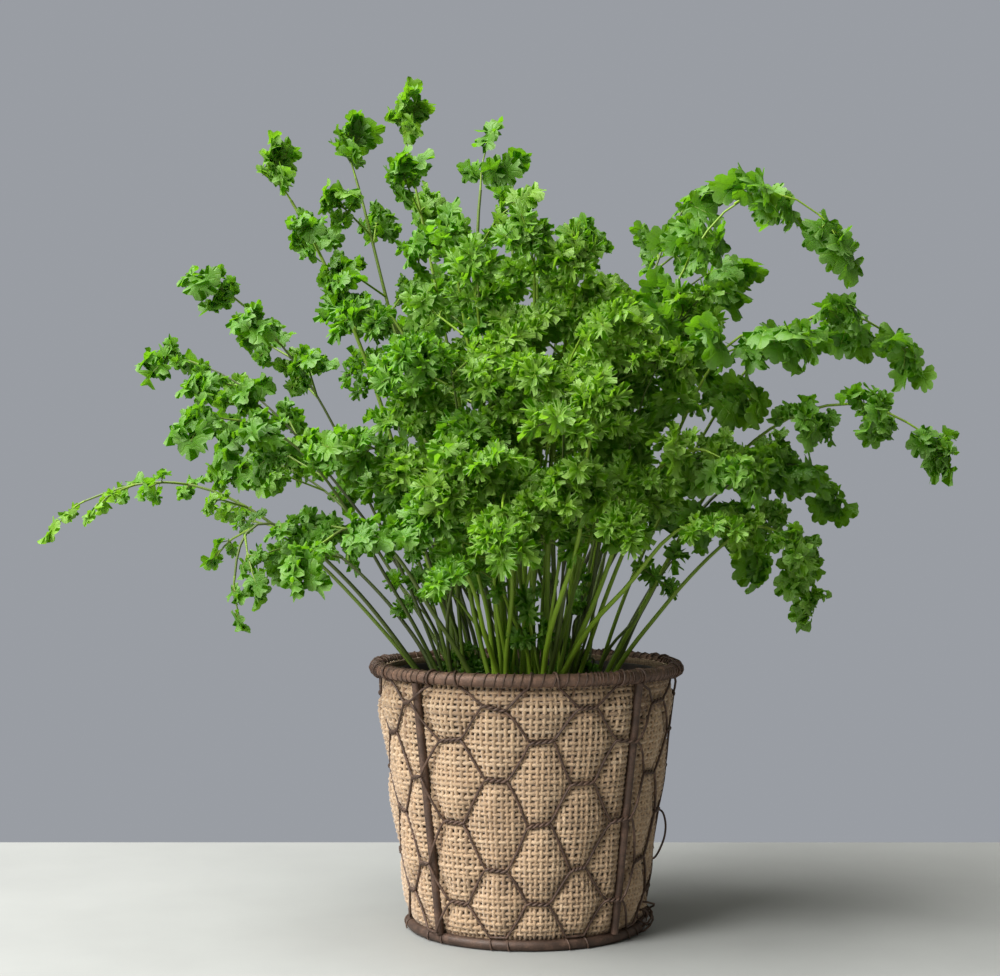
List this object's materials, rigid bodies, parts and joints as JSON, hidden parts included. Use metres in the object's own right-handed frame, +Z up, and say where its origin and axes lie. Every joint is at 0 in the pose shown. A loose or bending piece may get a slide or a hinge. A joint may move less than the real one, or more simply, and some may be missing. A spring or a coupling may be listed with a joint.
{
  "type": "potted parsley",
  "caption": "Curly parsley with long arching leafy stems, growing from soil in a round wire basket lined with burlap.",
  "frame": {"origin": "centre of the flat underside of the base cross, level with the underside of the bottom hoop", "axes": "+Z up along the basket's axis, +X to the right and -Y towards the viewer, as pictured"},
  "size_m": [0.3762, 0.2355, 0.3552],
  "materials": {
    "rusty_wire": "matte",
    "burlap": "matte",
    "black_plastic": "matte",
    "soil": "matte",
    "parsley_leaf": "satin"
  },
  "bodies": {
    "root": {"top_hoop": "rusty_wire", "bottom_hoop": "rusty_wire", "rib_1": "rusty_wire", "rib_2": "rusty_wire", "rib_3": "rusty_wire", "rib_4": "rusty_wire", "base_cross": "rusty_wire", "wire_netting": "rusty_wire", "burlap_liner": "burlap", "grow_pot": "black_plastic", "potting_soil": "soil", "frond_01": "parsley_leaf", "frond_02": "parsley_leaf", "frond_03": "parsley_leaf", "frond_04": "parsley_leaf", "frond_05": "parsley_leaf", "frond_06": "parsley_leaf", "frond_07": "parsley_leaf", "frond_08": "parsley_leaf", "frond_09": "parsley_leaf", "frond_10": "parsley_leaf", "frond_11": "parsley_leaf", "frond_12": "parsley_leaf", "frond_13": "parsley_leaf", "frond_14": "parsley_leaf", "frond_15": "parsley_leaf", "frond_16": "parsley_leaf", "frond_17": "parsley_leaf", "frond_18": "parsley_leaf", "frond_19": "parsley_leaf", "frond_20": "parsley_leaf", "frond_21": "parsley_leaf", "frond_22": "parsley_leaf", "frond_23": "parsley_leaf", "frond_24": "parsley_leaf", "frond_25": "parsley_leaf", "frond_26": "parsley_leaf", "frond_27": "parsley_leaf", "frond_28": "parsley_leaf", "frond_29": "parsley_leaf", "frond_30": "parsley_leaf", "frond_31": "parsley_leaf", "frond_32": "parsley_leaf", "frond_33": "parsley_leaf", "frond_34": "parsley_leaf", "frond_35": "parsley_leaf", "frond_36": "parsley_leaf", "frond_37": "parsley_leaf", "frond_38": "parsley_leaf", "frond_39": "parsley_leaf", "frond_40": "parsley_leaf", "frond_41": "parsley_leaf", "frond_42": "parsley_leaf"}
  },
  "joints": []
}
